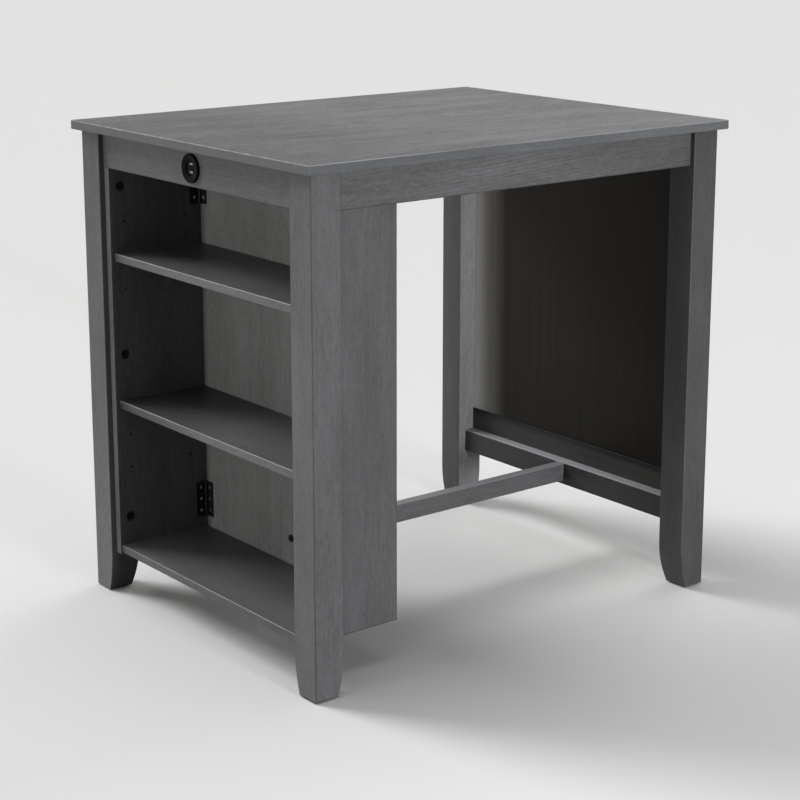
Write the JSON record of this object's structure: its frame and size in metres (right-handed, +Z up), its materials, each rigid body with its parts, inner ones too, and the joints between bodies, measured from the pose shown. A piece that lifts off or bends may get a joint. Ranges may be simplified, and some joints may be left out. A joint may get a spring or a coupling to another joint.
{
  "type": "counter height table",
  "caption": "Rectangular counter height table with an open shelf case at one end, loose shelves on angle supports, a low stretcher frame, a dark end panel and a round power module.",
  "frame": {"origin": "centre of the bounding box at the height of the floor", "axes": "+Z up, +X along the length away from the shelf case, +Y across the depth"},
  "size_m": [0.9652, 0.762, 0.9144],
  "materials": {
    "gray_wood": "wire-brushed gray stain, matte",
    "dark_panel": "dark stain, semi-gloss",
    "plain_wood": "unfinished",
    "black_steel": "satin black",
    "black_plastic": "fine texture",
    "zinc_steel": "zinc plated",
    "socket_steel": "plain",
    "pale_plastic": "smooth",
    "nylon": "smooth"
  },
  "bodies": {
    "frame": {"apron_back": "gray_wood", "apron_case_end": "gray_wood", "apron_front": "gray_wood", "apron_panel_end": "gray_wood", "case_back": "gray_wood", "case_bolt_inserts": "zinc_steel", "case_bolts": "black_steel", "case_bottom_shelf": "gray_wood", "case_side_back": "gray_wood", "case_side_front": "gray_wood", "corner_block_case_back": "plain_wood", "corner_block_case_front": "plain_wood", "corner_block_panel_back": "plain_wood", "corner_block_panel_front": "plain_wood", "corner_block_screws": "zinc_steel", "end_panel": "dark_panel", "end_panel_rail": "dark_panel", "end_stretcher": "gray_wood", "end_stretcher_bolts": "zinc_steel", "end_stretcher_nuts": "zinc_steel", "end_stretcher_washers": "zinc_steel", "foot_glides": "nylon", "glide_nails": "zinc_steel", "hanger_bolt_nuts": "zinc_steel", "hanger_bolt_washers": "zinc_steel", "hanger_bolts": "zinc_steel", "hinge_back_high_back_leaf": "black_steel", "hinge_back_high_side_leaf": "black_steel", "hinge_back_low_back_leaf": "black_steel", "hinge_back_low_side_leaf": "black_steel", "hinge_front_high_back_leaf": "black_steel", "hinge_front_high_side_leaf": "black_steel", "hinge_front_low_back_leaf": "black_steel", "hinge_front_low_side_leaf": "black_steel", "hinge_pins": "black_steel", "hinge_screws": "zinc_steel", "leg_case_back": "gray_wood", "leg_case_front": "gray_wood", "leg_panel_back": "gray_wood", "leg_panel_front": "gray_wood", "middle_stretcher": "gray_wood", "middle_stretcher_barrels": "zinc_steel", "middle_stretcher_bolts": "black_steel", "module_cap": "black_plastic", "module_cord_gland": "black_plastic", "module_face": "black_plastic", "module_housing": "black_plastic", "module_lock_nut": "black_plastic", "rail_dowels": "plain_wood", "shelf_cam_bolts": "zinc_steel", "shelf_cams": "zinc_steel", "shelf_supports_middle": "zinc_steel", "shelf_supports_upper": "zinc_steel", "tabletop": "gray_wood", "tabletop_screws": "zinc_steel", "usb_sockets": "socket_steel", "usb_tongues": "pale_plastic"},
    "upper_shelf": {"shelf_upper": "gray_wood"},
    "middle_shelf": {"shelf_middle": "gray_wood"}
  },
  "joints": [
    {"name": "upper_shelf_slide", "type": "slide", "parent": "frame", "child": "upper_shelf", "axis": [-1, 0, 0], "range_m": [0, 0.2]},
    {"name": "middle_shelf_slide", "type": "slide", "parent": "frame", "child": "middle_shelf", "axis": [-1, 0, 0], "range_m": [0, 0.2]}
  ]
}
